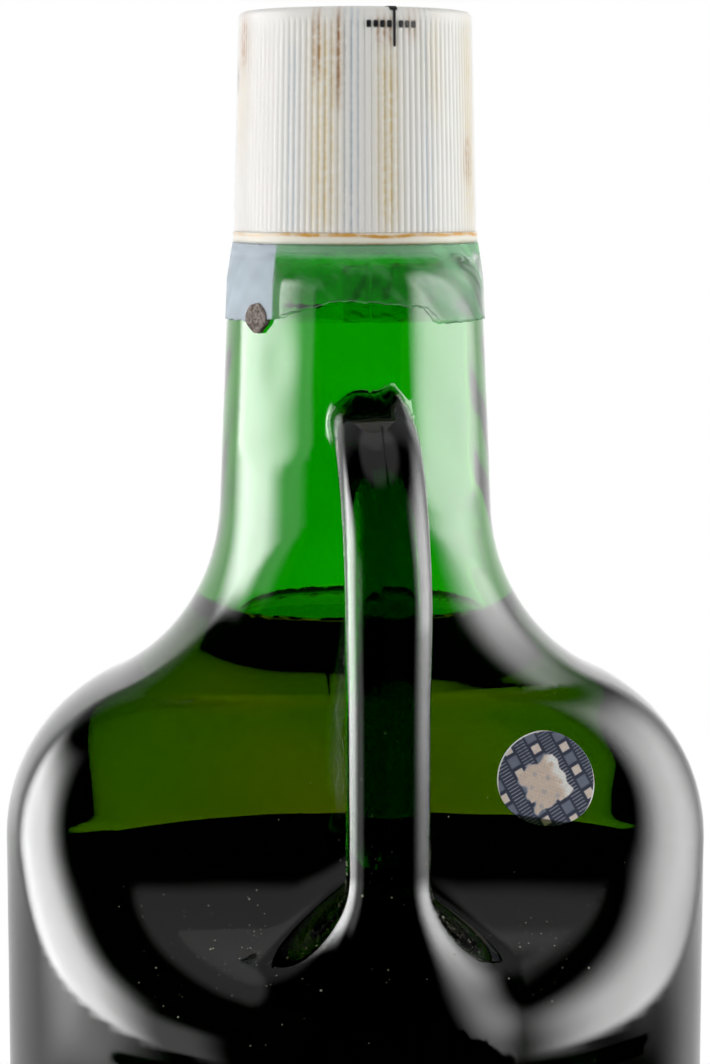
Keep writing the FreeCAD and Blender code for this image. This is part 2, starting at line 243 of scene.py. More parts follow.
def handle_field(x, v, z):
    """Distance to the handle: an elliptical arch off the neck, then a straight grip.  Two
    lobes stand up where the arch meets the neck, and the foot leans and spreads outwards."""
    root = neck_radius(HANDLE_TOP)
    run = HANDLE_REACH - HANDLE_DEPTH / 2 - root
    rise = HANDLE_TOP - HANDLE_SPRING - HANDLE_DEPTH / 2
    dv = v - root
    dz = np.maximum(z - HANDLE_SPRING, 0)
    size = np.hypot(dv / run, dz / rise)
    steep = np.hypot(dv / run ** 2, dz / rise ** 2)
    across = np.where(z > HANDLE_SPRING, (size - 1) * size / np.maximum(steep, 1e-6), dv - run)
    lobes = 2.1 * np.exp(-((x - 4.0) / 2.0) ** 2) + 0.7 * np.exp(-((x + 2.6) / 2.0) ** 2)
    near_root = ramp(v, root + 12, root + 3) * ramp(z, HANDLE_SPRING + 10, HANDLE_SPRING + 20)
    lean = FOOT_LEAN * ramp(z, FOOT_TOP, FOOT_TOP - FOOT_LEAN_RUN)
    ahead = across - (HANDLE_DEPTH / 2 - HANDLE_FRONT)
    front = HANDLE_FRONT + lobes * near_root + lean
    half_depth = np.where(ahead > 0, front, HANDLE_DEPTH - HANDLE_FRONT)
    spread = 0.2 * ramp(z, 213, 228) + FOOT_SPREAD * ramp(z, FOOT_TOP, FOOT_TOP - 16)
    half_width = HANDLE_WIDTH / 2 + spread
    power = np.where(ahead > 0, 2.2, 2.0)
    oval = np.abs(x / half_width) ** power + np.abs(ahead / half_depth) ** power
    distance = (oval ** (1 / power) - 1) * half_width
    return np.where(v < root - 8, 20.0, distance)


def panel_depth(x, v, z, deep, bottom, top, spread_deg, facing):
    """How deep a label panel is sunk at a point: flat inside, with soft edges."""
    angle = np.abs(np.degrees(np.arctan2(x, facing * v)))
    across = (angle - spread_deg / 2) * math.radians(BODY_RADIUS)
    edge = np.maximum(across, np.maximum(bottom - z, z - top))
    return deep * ramp(edge, PANEL_EDGE, -PANEL_EDGE)


def outer_glass(x, v, z):
    """Below 0 in the glass and in the room that it encloses."""
    r = np.hypot(x, v)
    side = neck_facets(x, v, z, turned_field(x, v, z, OUTSIDE), OUTSIDE)
    front_edges = (PANEL_BOTTOM, FRONT_PANEL_TOP, FRONT_PANEL_DEG)
    label_edges = (LABEL_BOTTOM - 1, LABEL_TOP + 1, LABEL_DEG + 2)
    side = side + panel_depth(x, v, z, FRONT_PANEL_DEPTH, *front_edges, 1)
    side = side + panel_depth(x, v, z, PANEL_DEPTH, *label_edges, -1)
    body = round_cut(side, -z, HEEL)
    body = round_cut(body, -scoop_field(x, v, z), scoop_edge(z, SCOOP_EDGE))
    ended = ramp(z, *FOOT_ENDS)
    fillet = ROOT_FILLET + (FOOT_FILLET - ROOT_FILLET) * ramp(z, 208, 186) * (1 - ended)
    glass = round_join(body, handle_field(x, v, z) + FOOT_SINK * ended, fillet)
    seam = SEAM_HEIGHT * np.exp(-(x / SEAM_WIDTH) ** 2) * ramp(z, 4, 10)
    uneven = OUTER_RIPPLE * (ripple(x, v, z, 31) - 1) + 0.3 * OUTER_RIPPLE * ripple(x, v, z, 11)
    glass = np.maximum(glass - seam - uneven * ramp(z, 2, 12), r - BODY_RADIUS)
    bowl_edge = BODY_RADIUS - HEEL - BEARING
    bowl = (bowl_edge ** 2 + PUSH_UP ** 2) / (2 * PUSH_UP)
    push_up = bowl - np.sqrt(r ** 2 + (z - PUSH_UP + bowl) ** 2)
    return np.maximum(np.maximum(glass, push_up), z - MOUTH)


def room(x, v, z):
    """Below 0 in the room that the glass encloses."""
    r = np.hypot(x, v)
    side = neck_facets(x, v, z, turned_field(x, v, z, INSIDE), INSIDE)
    floor = PUSH_UP + BASE - PUSH_UP / 2 * np.minimum(r / 44, 1.2) ** 2
    space = round_cut(side, floor - z, INNER_HEEL)
    space = round_cut(space, WALL - scoop_field(x, v, z), scoop_edge(z, SCOOP_INNER_EDGE))
    fine = 0.5 * ripple(x, v, z, 9) * ramp(z, 230, 240)
    wave = ripple(x, v, z, 27) + 0.3 * ripple(x, v, z, 15) + fine
    return space + INNER_RIPPLE * wave * ramp(z, NECK_TOP, NECK_TOP - 20)


def glass_field(x, v, z):
    """Below 0 in the glass alone."""
    return np.maximum(outer_glass(x, v, z), -room(x, v, z))


def slope_of(field, points, step=0.05):
    """The field's gradient at each point."""
    gradient = np.empty_like(points)
    for axis in range(3):
        shift = np.zeros(3)
        shift[axis] = step
        ahead = field(*(points + shift).T)
        behind = field(*(points - shift).T)
        gradient[:, axis] = (ahead - behind) / (2 * step)
    return gradient


def settle(field, points, rounds=4, limit=0.6):
    """Moves points on to the field's zero level."""
    for _ in range(rounds):
        gradient = slope_of(field, points)
        move = field(*points.T)[:, None] * gradient / np.sum(gradient ** 2, axis=1)[:, None]
        length = np.linalg.norm(move, axis=1)[:, None]
        points = points - move * np.minimum(1, limit / np.maximum(length, 1e-9))
    return points


def skin(field, xs, vs, zs):
    """Points and quads of a field's zero level on an uneven grid, as surface nets."""
    values = field(*np.meshgrid(xs, vs, zs, indexing="ij"))
    cells = np.array(values.shape) - 1
    total = np.zeros((*cells, 3))
    count = np.zeros(cells)
    edges = []
    for axis in range(3):
        before, after = [slice(None)] * 3, [slice(None)] * 3
        before[axis], after[axis] = slice(None, -1), slice(1, None)
        start, end = values[tuple(before)], values[tuple(after)]
        crossed = (start < 0) != (end < 0)
        place = np.argwhere(crossed)
        share = (start / (start - end + 1e-30))[crossed]
        point = np.stack([grid[place[:, i]] for i, grid in enumerate((xs, vs, zs))], axis=1)
        grid = (xs, vs, zs)[axis]
        point[:, axis] += share * (grid[place[:, axis] + 1] - grid[place[:, axis]])
        one, two = (axis + 1) % 3, (axis + 2) % 3
        around = []
        for back_one, back_two in ((1, 1), (0, 1), (0, 0), (1, 0)):
            cell = place.copy()
            cell[:, one] -= back_one
            cell[:, two] -= back_two
            np.add.at(total, tuple(cell.T), point)
            np.add.at(count, tuple(cell.T), 1)
            around.append(cell)
        edges.append((around, start[crossed] < 0))
    used = count > 0
    number = np.full(cells, -1)
    number[used] = np.arange(used.sum())
    quads = []
    for around, outward in edges:
        quad = np.stack([number[tuple(cell.T)] for cell in around], axis=1)
        quads.append(np.where(outward[:, None], quad, quad[:, ::-1]))
    return total[used] / count[used][:, None], np.concatenate(quads)


def steps(*stops):
    """A grid line: pairs of an end and the spacing used up to it, after the start."""
    line = [stops[0]]
    for end, spacing in zip(stops[1::2], stops[2::2]):
        number = max(1, round((end - line[-1]) / spacing))
        line.extend(np.linspace(line[-1], end, number + 1)[1:])
    return np.array(line)


def piece(name, points, faces, normals=None, **values):
    """A smooth mesh object from points in mm, on the root body."""
    mesh = bpy.data.meshes.new(name)
    mesh.from_pydata((np.asarray(points) * MM).tolist(), [], faces)
    mesh.shade_smooth()
    for key, value in values.items():
        mesh.attributes.new(key, "FLOAT", "POINT").data.foreach_set("value", np.float32(value))
    if normals is not None:
        mesh.normals_split_custom_set_from_vertices(normals.tolist())
    shape = bpy.data.objects.new(name, mesh)
    bpy.context.scene.collection.objects.link(shape)
    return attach(shape, "root")


def carved(name, field, xs, vs, zs, **masks):
    """A piece from a field of x, v and z; masks are functions of its points."""
    points, quads = skin(field, xs, vs, zs)
    points = settle(field, points)
    normals = slope_of(field, points)
    normals /= np.linalg.norm(normals, axis=1)[:, None]
    values = {key: mask(*points.T) for key, mask in masks.items()}
    flip = np.array([1, -1, 1])
    return piece(name, points * flip, quads[:, ::-1].tolist(), normals * flip, **values)


def srgb(code):
    """A hex colour as linear red, green, blue and alpha."""
    parts = [int(code[i:i + 2], 16) / 255 for i in (1, 3, 5)]
    return [c / 12.92 if c <= 0.04045 else ((c + 0.055) / 1.055) ** 2.4 for c in parts] + [1.0]


def add(tree, kind, links=None, **settings):
    """Adds a node: settings are its own properties, links its sockets' values or sources.  A
    source is another node's socket, or a node for its first one."""
    node = tree.nodes.new(kind)
    for key, value in settings.items():
        setattr(node, key, value)
    for key, value in (links or {}).items():
        if isinstance(value, bpy.types.Node):
            value = value.outputs[0]
        if isinstance(value, bpy.types.NodeSocket):
            tree.links.new(value, node.inputs[key])
        else:
            node.inputs[key].default_value = value
    return node


def finish(name, shader="ShaderNodeBsdfPrincipled"):
    """A new material: its node tree and its main shader, already on the output."""
    material = bpy.data.materials.new(name)
    material.use_nodes = True
    tree = material.node_tree
    tree.nodes.clear()
    main = add(tree, shader)
    out = add(tree, "ShaderNodeOutputMaterial", {"Surface": main.outputs[0]})
    return material, tree, main, out


def inner_wall(x, v, z):
    """True on the inner wall."""
    return (room(x, v, z) > -0.2) & (outer_glass(x, v, z) < -1.0)


def wetted(x, v, z):
    """1 on the inner wall below the whisky's level, where no air lies on the glass."""
    return inner_wall(x, v, z) * ramp(z, FILL + 0.2, FILL - 0.7)


def dry(x, v, z):
    """1 on the inner wall above the level."""
    return inner_wall(x, v, z) * ramp(z, FILL - 0.7, FILL + 0.2)


def green_glass():
    """Soda-lime glass, fire-polished: clear and sharp.  Its green is depth of colour, so it
    darkens with thickness; dry walls look a purer green than those with whisky behind."""
    material, tree, glass, out = finish("fire_polished_green_glass")
    on_whisky = add(tree, "ShaderNodeAttribute", attribute_name="wetted").outputs["Fac"]
    on_air = add(tree, "ShaderNodeAttribute", attribute_name="dry").outputs["Fac"]
    bend = add(tree, "ShaderNodeMapRange", {"Value": on_whisky, "To Min": 1.52, "To Max": 1.0})
    tint = add(
        tree, "ShaderNodeMix", {"Factor": on_air, 6: srgb("#ffffff"), 7: srgb("#2eea48")},
        data_type="RGBA",
    )
    glass.inputs["Roughness"].default_value = 0.0
    glass.inputs["IOR"].default_value = 1.52
    glass.inputs["Transmission Weight"].default_value = 1.0
    tree.links.new(bend.outputs[0], glass.inputs["IOR"])
    tree.links.new(tint.outputs[2], glass.inputs["Base Color"])
    depth = add(tree, "ShaderNodeVolumeAbsorption", {"Color": (0.5, 0.81, 0.0, 1.0), "Density": 1000.0})
    tree.links.new(depth.outputs[0], out.inputs["Volume"])
    return material


LINE_X = steps(-64, -32, 1.6, -0.9, 1.3, 0.9, 0.3, 32, 1.3, 64, 1.6)
LINE_V = steps(-64, 18, 1.6, 58, 1.2, 64, 1.5)
LINE_Z = steps(-2, 14, 1.5, 28, 2.0, 150, 6.0, 160, 1.2, 219, 1.45, 226, 0.45, 288, 1.5, 326, 2.2)

bottle = carved("bottle_glass", glass_field, LINE_X, LINE_V, LINE_Z, wetted=wetted, dry=dry)
bottle.data.materials.append(green_glass())
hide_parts("bottle")


# ------------------------------------------------------------------------------- whisky
# Blended whisky, amber from the cask.  It wets the glass, so it reaches a quarter of a
# millimetre into the wall, and it climbs a little way up the glass at its level.

INTO_WALL = 0.25
CLIMB = 1.6


def whisky_field(x, v, z):
    """Below 0 in the whisky, with its edge drawn up the glass at the level."""
    space = room(x, v, z)
    meniscus = CLIMB * np.exp(np.minimum(space, 0) / 1.7)
    return np.maximum(space - INTO_WALL, z - FILL + CLIMB - meniscus)


def open_top(x, v, z):
    """1 on the free surface, where the whisky meets air."""
    return ramp(room(x, v, z), -0.1, -0.5) * ramp(z, FILL - CLIMB - 0.8, FILL - CLIMB - 0.4)


def amber_whisky():
    """Spirit, IOR 1.36.  Against the glass it bends light by 1.36 over 1.52 only, so its
    sides all but vanish; its level stays a mirror.  Amber takes the blue, then the green."""
    material, tree, spirit, out = finish("amber_whisky")
    top = add(tree, "ShaderNodeAttribute", attribute_name="open_top").outputs["Fac"]
    bend = add(tree, "ShaderNodeMapRange", {"Value": top, "To Min": 1.36 / 1.52, "To Max": 1.36})
    spirit.inputs["Base Color"].default_value = srgb("#ffffff")
    spirit.inputs["Roughness"].default_value = 0.0
    spirit.inputs["IOR"].default_value = 1.36
    spirit.inputs["Transmission Weight"].default_value = 1.0
    tree.links.new(bend.outputs[0], spirit.inputs["IOR"])
    depth = add(tree, "ShaderNodeVolumeAbsorption", {"Color": (0.967, 0.766, 0.0, 1.0), "Density": 83.0})
    tree.links.new(depth.outputs[0], out.inputs["Volume"])
    return material


WHISKY_Z = steps(6, 28, 2.0, 150, 6.0, 160, 1.6, 219, 1.5, 226, 0.4)
whisky = carved("whisky_fill", whisky_field, LINE_X, LINE_V, WHISKY_Z, open_top=open_top)
whisky.data.materials.append(amber_whisky())
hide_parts("whisky")


# ------------------------------------------------------------------------------- cap
# A screw cap of satin off-white polypropylene, injection moulded, with fine ribs round its
# skirt that run out below the roof.  Brown and yellow dirt has settled in the grooves.

CAP_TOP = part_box("cap")[1].z / MM
CAP_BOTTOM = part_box("cap")[0].z / MM
CAP_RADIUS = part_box("cap")[1].x / MM
CAP_BORE = CAP_RADIUS - 2.7
CAP_DRAFT = math.tan(math.radians(1.5))
RIBS = 116
RIB_DEPTH = 0.22
SPECKS_PER_MM = 0.9


def cap_radius(z):
    """The cap's radius over its crests: it widens downwards by the mould's draft."""
    return CAP_RADIUS - (z - CAP_BOTTOM) * CAP_DRAFT


def rings(name, points, closed, **masks):
    """A piece from rows of points, each row a ring.  The last row joins the first, or else
    the first and the last end in a flat face.  Masks are functions of x, v and z."""
    number = np.arange(points.shape[0] * points.shape[1]).reshape(points.shape[:2])
    rows = np.vstack([number, number[:1]]) if closed else number
    right = np.roll(rows, -1, axis=1)
    faces = np.stack([rows[:-1], rows[1:], right[1:], right[:-1]], axis=-1).reshape(-1, 4).tolist()
    if not closed:
        faces += [number[0].tolist(), number[-1][::-1].tolist()]
    points = points.reshape(-1, 3)
    x, v, z = points.T * np.array([[1], [-1], [1]])
    return piece(name, points, faces, **{key: mask(x, v, z) for key, mask in masks.items()})


def turned(profile, columns, reshape=None):
    """Rows of points round the axis from a profile of radii and heights; `reshape` may move
    them, given radius, height and the angle from the handle towards +X."""
    radius, height = (np.repeat(side[:, None], columns, axis=1) for side in np.array(profile, float).T)
    angle = np.broadcast_to(np.linspace(0, 2 * math.pi, columns, endpoint=False), radius.shape)
    if reshape:
        radius, height = reshape(radius, height, angle)
    return np.stack([radius * np.sin(angle), -radius * np.cos(angle), height], axis=-1)


def corner(radius, height, size, start_deg, end_deg, number=5):
    """Points of a rounded corner of a profile, about its centre."""
    turn = np.radians(np.linspace(start_deg, end_deg, number))
    return list(zip(radius + size * np.cos(turn), height + size * np.sin(turn)))


def around(x, v):
    """Degrees round the axis from the handle towards +X."""
    return np.degrees(np.arctan2(x, v))


def patch(angle, z, middle, spread, top, bottom, soft):
    """A soft-edged upright patch: its middle and spread in degrees, its ends in millimetres."""
    ends = ramp(z, top + soft, top - soft) * ramp(z, bottom - soft, bottom + soft)
    return np.exp(-((angle - middle) / spread) ** 2) * ends


def ribbed(radius, height, angle):
    """Presses the grooves between the ribs into the skirt."""
    groove = 1 - np.abs(np.cos(RIBS * angle / 2))
    outside = (radius > CAP_BORE + 1) & (height < CAP_TOP - 1)
    return radius - RIB_DEPTH * groove * outside * ramp(height, CAP_TOP - 1.6, CAP_TOP - 2.8), height


def in_grooves(x, v):
    """1 at the bottom of a groove, 0 on a crest."""
    return np.sin(RIBS * np.arctan2(x, v) / 2) ** 2


def brown_dirt(x, v, z):
    """Brown streaks down the grooves, most of them from under the cap's edge."""
    angle = around(x, v)
    dirt = 0.9 * patch(angle, z, -24.5, 2.4, 324, 313, 3)
    dirt += 1.0 * patch(angle, z, -14.0, 2.2, 324, 309, 4)
    dirt += 0.7 * patch(angle, z, 5.0, 1.6, 323, 318, 2)
    dirt += 0.8 * patch(angle, z, 9.5, 3.0, 323, 318.5, 1.5)
    dirt += 0.5 * patch(angle, z, 22, 4.0, 324, 319, 2)
    dirt += 0.8 * patch(angle, z, -77, 6.0, 323, 315, 3)
    dirt += 0.8 * patch(angle, z, 63, 5.0, 303, 296, 2)
    return dirt * (0.25 + 0.75 * in_grooves(x, v))


def yellow_dirt(x, v, z):
    """Wide yellowed bands."""
    angle = around(x, v)
    dirt = 0.8 * patch(angle, z, -21, 8.0, 321, 288, 4)
    dirt += 0.9 * patch(angle, z, 9.5, 5.5, 318, 288, 5)
    dirt += 0.5 * patch(angle, z, 33, 7.0, 323, 306, 6)
    dirt += 0.7 * patch(angle, z, 66, 9.0, 322, 288, 5)
    dirt += 0.4 * patch(angle, z, -80, 12.0, 322, 300, 8)
    dirt += 0.35 * patch(angle, z, 170, 30, 322, 290, 8)
    return dirt * (0.3 + 0.7 * in_grooves(x, v))


def blue_shade(x, v, z):
    """Grooves with a blue-grey cast."""
    angle = around(x, v)
    shade = patch(angle, z, -7.5, 4.5, 325, 287, 2) + 0.9 * patch(angle, z, 30, 3.5, 325, 287, 2)
    return 0.7 * (shade + 0.8 * patch(angle, z, -37, 5, 318, 287, 3)) * in_grooves(x, v)


def stained_plastic(name, colour, stains):
    """Satin moulded polypropylene with stains: pairs of a mask's name and its colour, broken
    up by a fine noise."""
    material, tree, plastic, out = finish(name)
    place = add(tree, "ShaderNodeTexCoord").outputs["Object"]
    specks = add(tree, "ShaderNodeTexNoise", {"Vector": place, "Scale": SPECKS_PER_MM / MM, "Detail": 3.0})
    broken = add(
        tree, "ShaderNodeMapRange",
        {"Value": specks.outputs["Fac"], "From Min": 0.35, "From Max": 0.6, "To Min": 0.45},
    )
    surface = srgb(colour)
    for mask, stain in stains:
        share = add(tree, "ShaderNodeAttribute", attribute_name=mask).outputs["Fac"]
        share = add(
            tree, "ShaderNodeMath", {0: share, 1: broken}, operation="MULTIPLY", use_clamp=True
        )
        surface = add(
            tree, "ShaderNodeMix", {"Factor": share, 6: surface, 7: srgb(stain)}, data_type="RGBA"
        ).outputs[2]
    tree.links.new(surface, plastic.inputs["Base Color"])
    plastic.inputs["Roughness"].default_value = 0.5
    plastic.inputs["IOR"].default_value = 1.49
    plastic.inputs["Specular IOR Level"].default_value = 0.12
    plastic.inputs["Subsurface Weight"].default_value = 0.15
    plastic.inputs["Subsurface Radius"].default_value = (0.001, 0.001, 0.001)
    return material


cap_profile = [(2.0, CAP_TOP), (12.0, CAP_TOP - 0.05)]
cap_profile += corner(cap_radius(CAP_TOP) - 1.0, CAP_TOP - 1.05, 1.0, 90, 2)
cap_profile += [(cap_radius(z), z) for z in np.linspace(CAP_TOP - 1.4, CAP_BOTTOM + 0.3, 70)]
cap_profile += corner(CAP_RADIUS - 0.3, CAP_BOTTOM + 0.25, 0.25, -10, -90, 3)
cap_profile += [(CAP_BORE + 0.1, CAP_BOTTOM), (CAP_BORE, CAP_BOTTOM + 0.4), (CAP_BORE, MOUTH), (2.0, MOUTH)]
cap = rings(
    "ribbed_cap", turned(cap_profile, RIBS * 8, ribbed), False,
    brown=brown_dirt, yellow=yellow_dirt, blue=blue_shade,
)
cap.data.materials.append(stained_plastic(
    "stained_cap_polypropylene", "#ebe8e5",
    (("yellow", "#dcc48c"), ("brown", "#a8743e"), ("blue", "#b4bfd0")),
))
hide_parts("cap")


# ------------------------------------------------------------------------------- tamper ring
# The same polypropylene.  The ring hangs under the cap, plain and round-edged, with a
# rust-brown tide line where damp has stood in the gap between the two.

RING_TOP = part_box("tamper_ring")[1].z / MM
RING_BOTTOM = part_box("tamper_ring")[0].z / MM
RING_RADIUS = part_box("tamper_ring")[1].x / MM


def tide_line(x, v, z):
    """The rust-brown line under the cap, and a fainter one along the ring's foot in front."""
    angle = around(x, v)
    wander = 0.12 * np.sin(np.radians(angle) * 5 + 1) + 0.1 * np.sin(np.radians(angle) * 11)
    line = np.exp(-((z - RING_TOP + 0.35 + wander) / 0.3) ** 2)
    foot = 0.6 * np.exp(-((z - RING_BOTTOM) / 0.3) ** 2) * ramp(np.cos(np.radians(angle - 25)), 0.5, 0.9)
    stretch = 0.35 + 0.65 * ramp(angle, -45, -35) * ramp(angle, 110, 80)
    return 1.6 * (line + foot) * stretch * (0.8 + 0.2 * np.sin(np.radians(angle) * 23))


ring_profile = corner(RING_RADIUS - 0.35, RING_TOP - 0.35, 0.35, 90, 0, 4)
ring_profile += [(RING_RADIUS, z) for z in np.linspace(RING_TOP - 0.5, RING_BOTTOM + 0.6, 6)]
ring_profile += corner(RING_RADIUS - 0.5, RING_BOTTOM + 0.5, 0.5, 0, -90, 5)
ring_profile += [(CAP_BORE, RING_BOTTOM), (CAP_BORE, RING_TOP)]
ring = rings("plain_tamper_ring", turned(ring_profile, 360), True, tide=tide_line)
ring.data.materials.append(stained_plastic("stained_ring_polypropylene", "#ece6da", (("tide", "#d09a45"),)))
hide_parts("tamper_ring")


# ------------------------------------------------------------------------------- shrink film
# Clear film shrunk over cap, ring and neck.  It lies on the crests of the ribs, folds over
# the cap's edge, bridges from the ring to the neck, and is torn along its lower edge, where
# it has gone milky.  A tear mark is printed on it, and a pale blue-grey reflection is
# painted on it where it stands off the neck on the left.

FILM = 0.08
FILM_TOP = CAP_TOP + 0.05
FILM_LANDS = NECK_TOP + 1.6
FILM_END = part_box("neck_film")[0].z / MM


def tear_height(angle):
    """Height of the film's lower edge: level at the sides and behind, torn up in front."""
    degrees = np.degrees(angle)
    stops = [-180, -75, -50, -42, -34, -13, 1, 16, 27, 33, 38, 60, 180]
    rises = [0.9, 0.8, 0.9, 1.6, 2.6, 4.6, 4.3, 3.7, 3.3, 1.0, 0.6, 0.8, 0.9]
    jagged = 0.1 * np.sin(angle * 37) + 0.07 * np.sin(angle * 83 + 1)
    return FILM_END + np.interp(degrees, stops, rises) + jagged


def shrunk(radius, height, angle):
    """The film's unevenness: the torn edge, folds where it bridges, slight facets above."""
    angle = (angle + math.pi) % (2 * math.pi) - math.pi
    edge = tear_height(angle)
    share = (height - FILM_END) / (FILM_LANDS - FILM_END)
    moved = np.where(share < 1, edge + share * (FILM_LANDS - edge), height)
    widening = neck_radius(np.minimum(moved, NECK_TOP)) - neck_radius(np.minimum(height, NECK_TOP))
    settled = np.where(share < 1, widening, 0)
    bridge = ramp(height, FILM_LANDS - 1.5, FILM_LANDS + 1) * ramp(height, RING_BOTTOM, RING_BOTTOM - 1.5)
    folds = 0.03 * np.sin(11 * angle + 2 * np.sin(3 * angle)) + 0.012 * np.sin(29 * angle)
    skirt = ramp(height, RING_TOP, RING_TOP + 3)
    facets = 0.03 * np.sin(31 * angle + np.sin(height / 9)) + 0.02 * np.sin(height / 3 + 7 * angle)
    loose = 0.03 * ramp(height, FILM_LANDS, FILM_LANDS - 2)
    return radius + settled + folds * bridge + (facets + 0.05) * skirt + loose, moved


def haze(x, v, z):
    """How milky the film is: at the bridge, in blisters low on the right, and along the tear;
    and where it stands off the glass on the left, a painted reflection in pale blue-grey."""
    angle = around(x, v)
    above = z - tear_height(np.radians(angle))
    neck = ramp(z, RING_BOTTOM + 0.2, RING_BOTTOM - 0.3)
    blotches = ramp(ripple(x, v, z, 5.2) + 0.6 * ripple(x, v, z, 2.3), 0.0, 0.8)
    bridge = 0.5 * ramp(z + 0.4 * ripple(x, v, z, 7), RING_BOTTOM - 2.6, RING_BOTTOM - 1.2)
    # Painted reflection: where the film stands off on the left, a patchy pale patch stands in for the light
    # at the left mirrored in it.
    patchy = 0.66 + 0.12 * ripple(x, v, z, 9) + 0.05 * ripple(x, v, z, 3)
    painted_stand_off_reflection = patchy * blue_cast(x, v, z) * ramp(z, RING_BOTTOM - 0.5, RING_BOTTOM - 3)
    blisters = (0.1 + 0.2 * blotches) * ramp(angle, 18, 40) + 0.06 * blotches
    torn = 0.4 * np.exp(-(above / 0.14) ** 2)
    return np.clip(neck * (bridge + np.maximum(blisters, painted_stand_off_reflection) + torn) + 0.02, 0, 0.85)


def blue_cast(x, v, z):
    """1 where the film stands off the glass on the left, where its reflection is painted in pale blue-grey.
    """
    angle = around(x, v)
    return ramp(angle, -43.5, -45) * ramp(angle, -150, -100)


def across_of(degrees):
    """Millimetres round the cap for an angle."""
    return math.radians(degrees) * CAP_RADIUS


def ink(x, v, z):
    """The printed tear mark: a line with a short bar on top, a row of blank blocks in place
    of its words, and a spot; and a patchy dark line along the torn edge."""
    across = np.radians(around(x, v)) * CAP_RADIUS

    def block(middle, wide, top, bottom):
        near = ramp(np.abs(across - middle), wide / 2 + 0.1, wide / 2 - 0.1)
        return near * ramp(z, top + 0.15, top - 0.15) * ramp(z, bottom - 0.15, bottom + 0.15)

    line = across_of(12.7)
    marks = block(line, 0.4, FILM_TOP - 0.2, FILM_TOP - 6.6)
    marks = marks + block(line - 0.1, 1.3, FILM_TOP + 1, FILM_TOP - 0.6)
    for place in (-4.5, -3.3, -2.1, -0.9, 1.2, 2.4, 3.6):
        marks = marks + block(line + place, 0.7, FILM_TOP - 2.4, FILM_TOP - 3.4)
    marks = marks + 0.7 * block(across_of(-86), 2.2, 315, 313.4)
    above = z - tear_height(np.radians(around(x, v)))
    torn = np.exp(-(above / 0.14) ** 2) * ramp(z, FILM_LANDS, FILM_LANDS - 1)
    marks = marks + 0.55 * torn * ramp(np.sin(0.9 * across) + np.sin(2.3 * across + 1), -0.6, 0.5)
    return np.clip(marks, 0, 1)


def shrink_film():
    """Clear PVC film: straight through, mirrored by Fresnel, and milky by its mask; where it stands off on
    the left, the mask paints a pale blue-grey reflection.
    """
    material, tree, milk, out = finish("clear_shrink_film")
    # The pale blue-grey is a painted reflection, mixed into the milky film where it stands off on the left.
    cast = add(tree, "ShaderNodeAttribute", attribute_name="blue_cast").outputs["Fac"]
    shade = add(
        tree, "ShaderNodeMix", {"Factor": cast, 6: srgb("#86bb90"), 7: srgb("#c2ced8")}, data_type="RGBA"
    )
    tree.links.new(shade.outputs[2], milk.inputs["Base Color"])
    milk.inputs["Roughness"].default_value = 0.6
    milk.inputs["Specular IOR Level"].default_value = 0.2
    milk.inputs["IOR"].default_value = 1.45
    clear = add(tree, "ShaderNodeBsdfTransparent")
    gloss = add(tree, "ShaderNodeBsdfGlossy", {"Roughness": 0.12})
    inside = add(tree, "ShaderNodeNewGeometry").outputs["Backfacing"]
    bend = add(tree, "ShaderNodeMapRange", {"Value": inside, "To Min": 1.45, "To Max": 1.0})
    facing = add(tree, "ShaderNodeFresnel", {"IOR": bend})
    mirror = add(tree, "ShaderNodeMapRange", {"Value": facing, "To Max": 0.2})
    film = add(tree, "ShaderNodeMixShader", {0: mirror, 1: clear, 2: gloss})
    share = add(tree, "ShaderNodeAttribute", attribute_name="haze").outputs["Fac"]
    film = add(tree, "ShaderNodeMixShader", {0: share, 1: film, 2: milk})
    black = add(tree, "ShaderNodeBsdfPrincipled", {"Base Color": srgb("#1c1c20"), "Roughness": 0.4})
    share = add(tree, "ShaderNodeAttribute", attribute_name="ink").outputs["Fac"]
    film = add(tree, "ShaderNodeMixShader", {0: share, 1: film, 2: black})
    tree.links.new(film.outputs[0], out.inputs["Surface"])
    return material


bridge_share = np.linspace(0.08, 0.94, 9)
bridge_radius = NECK_RADIUS + (RING_RADIUS + 0.1 - NECK_RADIUS) * bridge_share
bridge_height = FILM_LANDS + (RING_BOTTOM - FILM_LANDS) * bridge_share
film_path = [(neck_radius(z) + 0.04, z) for z in np.linspace(FILM_END, NECK_TOP, 14)]
film_path += [(NECK_RADIUS + 0.02, z) for z in np.linspace(NECK_TOP + 0.4, FILM_LANDS, 3)]
film_path += list(zip(bridge_radius, bridge_height))
film_path += [(RING_RADIUS + 0.1, z) for z in np.linspace(RING_BOTTOM + 0.1, RING_TOP - 0.1, 3)]
film_path += [(cap_radius(z) + 0.02, z) for z in np.linspace(CAP_BOTTOM + 0.5, CAP_TOP - 8, 10)]
film_path += [(cap_radius(z) + 0.02, z) for z in np.linspace(CAP_TOP - 7.7, CAP_TOP - 1.2, 20)]
film_path += corner(cap_radius(CAP_TOP) - 1.0, CAP_TOP - 1.05, 1.04, 10, 88, 6)
film_path += [(cap_radius(CAP_TOP) - 1.0 - t, FILM_TOP - 0.04) for t in (0.8, 1.6, 2.4)]
film_path = np.array(film_path)
film_slope = np.gradient(film_path, axis=0)
film_normal = np.stack([film_slope[:, 1], -film_slope[:, 0]], axis=1)
film_normal /= np.linalg.norm(film_normal, axis=1)[:, None]
film_profile = np.vstack([(film_path + FILM * film_normal)[::-1], film_path])
film_rings = turned(film_profile, 720, shrunk)
film = rings("torn_shrink_film", film_rings, True, haze=haze, ink=ink, blue_cast=blue_cast)
film.data.materials.append(shrink_film())
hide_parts("neck_film")


# ------------------------------------------------------------------------------- label
# Bare dark paper on the side away from the handle, glued flat into its panel.  Its paste
# wets the glass, so the paper reaches a hair into the wall and shows dark through it.

LABEL_THICKNESS = 0.2
PASTE = 0.05
FIBRES_PER_MM = 1.4


